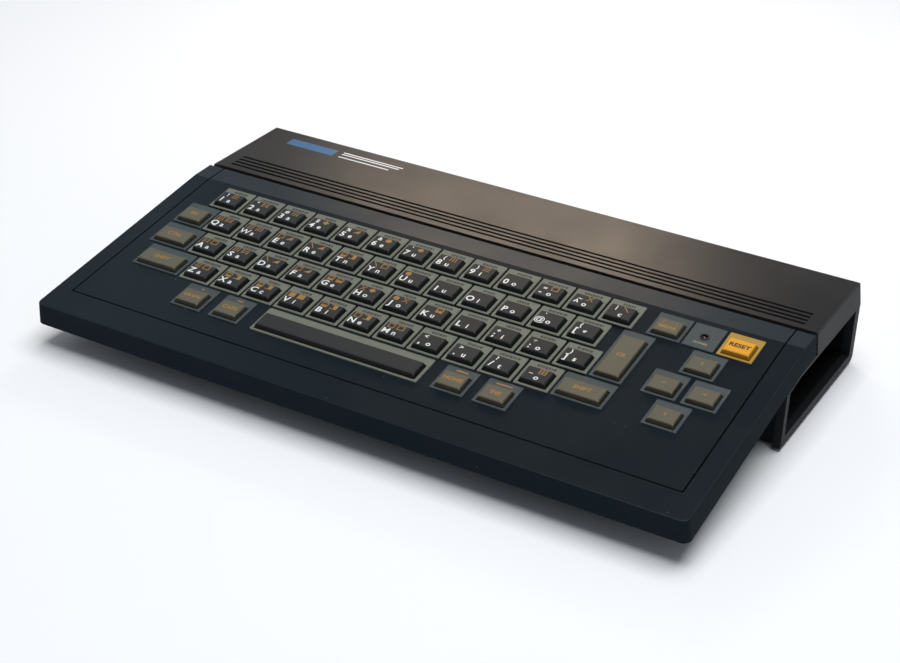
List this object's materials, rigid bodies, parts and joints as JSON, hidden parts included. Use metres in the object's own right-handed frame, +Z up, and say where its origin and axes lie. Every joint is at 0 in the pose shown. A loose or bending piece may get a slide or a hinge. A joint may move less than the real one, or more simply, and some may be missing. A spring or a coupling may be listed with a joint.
{
  "type": "home computer",
  "caption": "Wedge-shaped vintage home computer with low square keys in framed plates, a slotted rear housing and a cartridge bay in its side.",
  "frame": {"origin": "on the table under the middle of the footprint", "axes": "+X to the user's right along the long side, +Y to the back, +Z up; the lip faces -Y"},
  "size_m": [0.353, 0.2099, 0.046],
  "materials": {
    "deck": "fine grain",
    "cover": "fine grain",
    "case": "fine grain",
    "plate_light": "satin",
    "plate_blue": "satin",
    "reset_yellow": "satin",
    "cap_dark": "satin",
    "cap_taupe": "satin",
    "rubber": "matte",
    "board": "coated",
    "chip": "matte",
    "black_plastic": "satin",
    "ivory_plastic": "satin",
    "ribbon": "matte",
    "lamp": "clear tint",
    "steel": "zinc",
    "tin": "tinned",
    "aluminium": "plain",
    "capacitor": "sleeve"
  },
  "bodies": {
    "housing": {"deck_frame": "deck", "keyboard_panel": "deck", "rear_cover": "cover", "bottom_case": "case", "bay_liner": "case", "cartridge_slot": "black_plastic", "surround_characters": "plate_light", "surround_controls": "plate_blue", "surround_reset": "reset_yellow", "lamp_ring": "black_plastic", "power_lamp": "lamp", "key_mat": "rubber", "contact_board": "board", "keyboard_screws": "steel", "keyboard_ribbon": "ribbon", "ribbon_socket": "ivory_plastic", "main_board": "board", "board_screws": "steel", "logic_chips": "chip", "memory_chips": "chip", "voltage_regulator": "chip", "heat_sink": "aluminium", "capacitors": "capacitor", "rf_modulator": "tin", "joystick_ports": "tin", "din_sockets": "black_plastic", "cassette_jacks": "black_plastic", "power_jack": "black_plastic", "power_switch": "black_plastic", "rubber_feet": "rubber", "case_screws": "steel"},
    "keys_number_left_body": {"keys_number_left": "cap_dark"},
    "keys_number_middle_body": {"keys_number_middle": "cap_dark"},
    "keys_number_right_body": {"keys_number_right": "cap_dark"},
    "keys_upper_left_body": {"keys_upper_left": "cap_dark"},
    "keys_upper_middle_body": {"keys_upper_middle": "cap_dark"},
    "keys_upper_right_body": {"keys_upper_right": "cap_dark"},
    "keys_middle_left_body": {"keys_middle_left": "cap_dark"},
    "keys_middle_middle_body": {"keys_middle_middle": "cap_dark"},
    "keys_middle_right_body": {"keys_middle_right": "cap_dark"},
    "keys_lower_left_body": {"keys_lower_left": "cap_dark"},
    "keys_lower_middle_body": {"keys_lower_middle": "cap_dark"},
    "keys_lower_right_body": {"keys_lower_right": "cap_dark"},
    "key_space_body": {"key_space": "cap_dark"},
    "key_function_body": {"key_function": "cap_taupe"},
    "key_control_body": {"key_control": "cap_taupe"},
    "key_shift_left_body": {"key_shift_left": "cap_taupe"},
    "key_shift_right_body": {"key_shift_right": "cap_taupe"},
    "key_graphics_body": {"key_graphics": "cap_taupe"},
    "key_alphabet_body": {"key_alphabet": "cap_taupe"},
    "key_home_body": {"key_home": "cap_taupe"},
    "key_insert_body": {"key_insert": "cap_taupe"},
    "key_return_body": {"key_return": "cap_taupe"},
    "key_break_body": {"key_break": "cap_taupe"},
    "key_up_body": {"key_up": "cap_taupe"},
    "key_left_body": {"key_left": "cap_taupe"},
    "key_right_body": {"key_right": "cap_taupe"},
    "key_down_body": {"key_down": "cap_taupe"},
    "key_reset_body": {"key_reset": "reset_yellow"},
    "power_lever_body": {"power_lever": "ivory_plastic"}
  },
  "joints": [
    {"name": "power_lever_slide", "type": "slide", "parent": "housing", "child": "power_lever_body", "axis": [1, 0, 0], "range_m": [0, 0.004]},
    {"name": "keys_number_left_press", "type": "slide", "parent": "housing", "child": "keys_number_left_body", "axis": [0, 0.1516, -0.9884], "range_m": [0, 0.0015], "stiffness_N_per_m": 250, "springref_m": -0.001},
    {"name": "keys_number_middle_press", "type": "slide", "parent": "housing", "child": "keys_number_middle_body", "axis": [0, 0.1516, -0.9884], "range_m": [0, 0.0015], "stiffness_N_per_m": 250, "springref_m": -0.001},
    {"name": "keys_number_right_press", "type": "slide", "parent": "housing", "child": "keys_number_right_body", "axis": [0, 0.1516, -0.9884], "range_m": [0, 0.0015], "stiffness_N_per_m": 250, "springref_m": -0.001},
    {"name": "keys_upper_left_press", "type": "slide", "parent": "housing", "child": "keys_upper_left_body", "axis": [0, 0.1516, -0.9884], "range_m": [0, 0.0015], "stiffness_N_per_m": 250, "springref_m": -0.001},
    {"name": "keys_upper_middle_press", "type": "slide", "parent": "housing", "child": "keys_upper_middle_body", "axis": [0, 0.1516, -0.9884], "range_m": [0, 0.0015], "stiffness_N_per_m": 250, "springref_m": -0.001},
    {"name": "keys_upper_right_press", "type": "slide", "parent": "housing", "child": "keys_upper_right_body", "axis": [0, 0.1516, -0.9884], "range_m": [0, 0.0015], "stiffness_N_per_m": 250, "springref_m": -0.001},
    {"name": "keys_middle_left_press", "type": "slide", "parent": "housing", "child": "keys_middle_left_body", "axis": [0, 0.1516, -0.9884], "range_m": [0, 0.0015], "stiffness_N_per_m": 250, "springref_m": -0.001},
    {"name": "keys_middle_middle_press", "type": "slide", "parent": "housing", "child": "keys_middle_middle_body", "axis": [0, 0.1516, -0.9884], "range_m": [0, 0.0015], "stiffness_N_per_m": 250, "springref_m": -0.001},
    {"name": "keys_middle_right_press", "type": "slide", "parent": "housing", "child": "keys_middle_right_body", "axis": [0, 0.1516, -0.9884], "range_m": [0, 0.0015], "stiffness_N_per_m": 250, "springref_m": -0.001},
    {"name": "keys_lower_left_press", "type": "slide", "parent": "housing", "child": "keys_lower_left_body", "axis": [0, 0.1516, -0.9884], "range_m": [0, 0.0015], "stiffness_N_per_m": 250, "springref_m": -0.001},
    {"name": "keys_lower_middle_press", "type": "slide", "parent": "housing", "child": "keys_lower_middle_body", "axis": [0, 0.1516, -0.9884], "range_m": [0, 0.0015], "stiffness_N_per_m": 250, "springref_m": -0.001},
    {"name": "keys_lower_right_press", "type": "slide", "parent": "housing", "child": "keys_lower_right_body", "axis": [0, 0.1516, -0.9884], "range_m": [0, 0.0015], "stiffness_N_per_m": 250, "springref_m": -0.001},
    {"name": "key_space_press", "type": "slide", "parent": "housing", "child": "key_space_body", "axis": [0, 0.1516, -0.9884], "range_m": [0, 0.0015], "stiffness_N_per_m": 250, "springref_m": -0.001},
    {"name": "key_function_press", "type": "slide", "parent": "housing", "child": "key_function_body", "axis": [0, 0.1516, -0.9884], "range_m": [0, 0.0015], "stiffness_N_per_m": 250, "springref_m": -0.001},
    {"name": "key_control_press", "type": "slide", "parent": "housing", "child": "key_control_body", "axis": [0, 0.1516, -0.9884], "range_m": [0, 0.0015], "stiffness_N_per_m": 250, "springref_m": -0.001},
    {"name": "key_shift_left_press", "type": "slide", "parent": "housing", "child": "key_shift_left_body", "axis": [0, 0.1516, -0.9884], "range_m": [0, 0.0015], "stiffness_N_per_m": 250, "springref_m": -0.001},
    {"name": "key_shift_right_press", "type": "slide", "parent": "housing", "child": "key_shift_right_body", "axis": [0, 0.1516, -0.9884], "range_m": [0, 0.0015], "stiffness_N_per_m": 250, "springref_m": -0.001},
    {"name": "key_graphics_press", "type": "slide", "parent": "housing", "child": "key_graphics_body", "axis": [0, 0.1516, -0.9884], "range_m": [0, 0.0015], "stiffness_N_per_m": 250, "springref_m": -0.001},
    {"name": "key_alphabet_press", "type": "slide", "parent": "housing", "child": "key_alphabet_body", "axis": [0, 0.1516, -0.9884], "range_m": [0, 0.0015], "stiffness_N_per_m": 250, "springref_m": -0.001},
    {"name": "key_home_press", "type": "slide", "parent": "housing", "child": "key_home_body", "axis": [0, 0.1516, -0.9884], "range_m": [0, 0.0015], "stiffness_N_per_m": 250, "springref_m": -0.001},
    {"name": "key_insert_press", "type": "slide", "parent": "housing", "child": "key_insert_body", "axis": [0, 0.1516, -0.9884], "range_m": [0, 0.0015], "stiffness_N_per_m": 250, "springref_m": -0.001},
    {"name": "key_return_press", "type": "slide", "parent": "housing", "child": "key_return_body", "axis": [0, 0.1516, -0.9884], "range_m": [0, 0.0015], "stiffness_N_per_m": 250, "springref_m": -0.001},
    {"name": "key_break_press", "type": "slide", "parent": "housing", "child": "key_break_body", "axis": [0, 0.1516, -0.9884], "range_m": [0, 0.0015], "stiffness_N_per_m": 250, "springref_m": -0.001},
    {"name": "key_up_press", "type": "slide", "parent": "housing", "child": "key_up_body", "axis": [0, 0.1516, -0.9884], "range_m": [0, 0.0015], "stiffness_N_per_m": 250, "springref_m": -0.001},
    {"name": "key_left_press", "type": "slide", "parent": "housing", "child": "key_left_body", "axis": [0, 0.1516, -0.9884], "range_m": [0, 0.0015], "stiffness_N_per_m": 250, "springref_m": -0.001},
    {"name": "key_right_press", "type": "slide", "parent": "housing", "child": "key_right_body", "axis": [0, 0.1516, -0.9884], "range_m": [0, 0.0015], "stiffness_N_per_m": 250, "springref_m": -0.001},
    {"name": "key_down_press", "type": "slide", "parent": "housing", "child": "key_down_body", "axis": [0, 0.1516, -0.9884], "range_m": [0, 0.0015], "stiffness_N_per_m": 250, "springref_m": -0.001},
    {"name": "key_reset_press", "type": "slide", "parent": "housing", "child": "key_reset_body", "axis": [0, 0.1516, -0.9884], "range_m": [0, 0.0015], "stiffness_N_per_m": 250, "springref_m": -0.001}
  ]
}
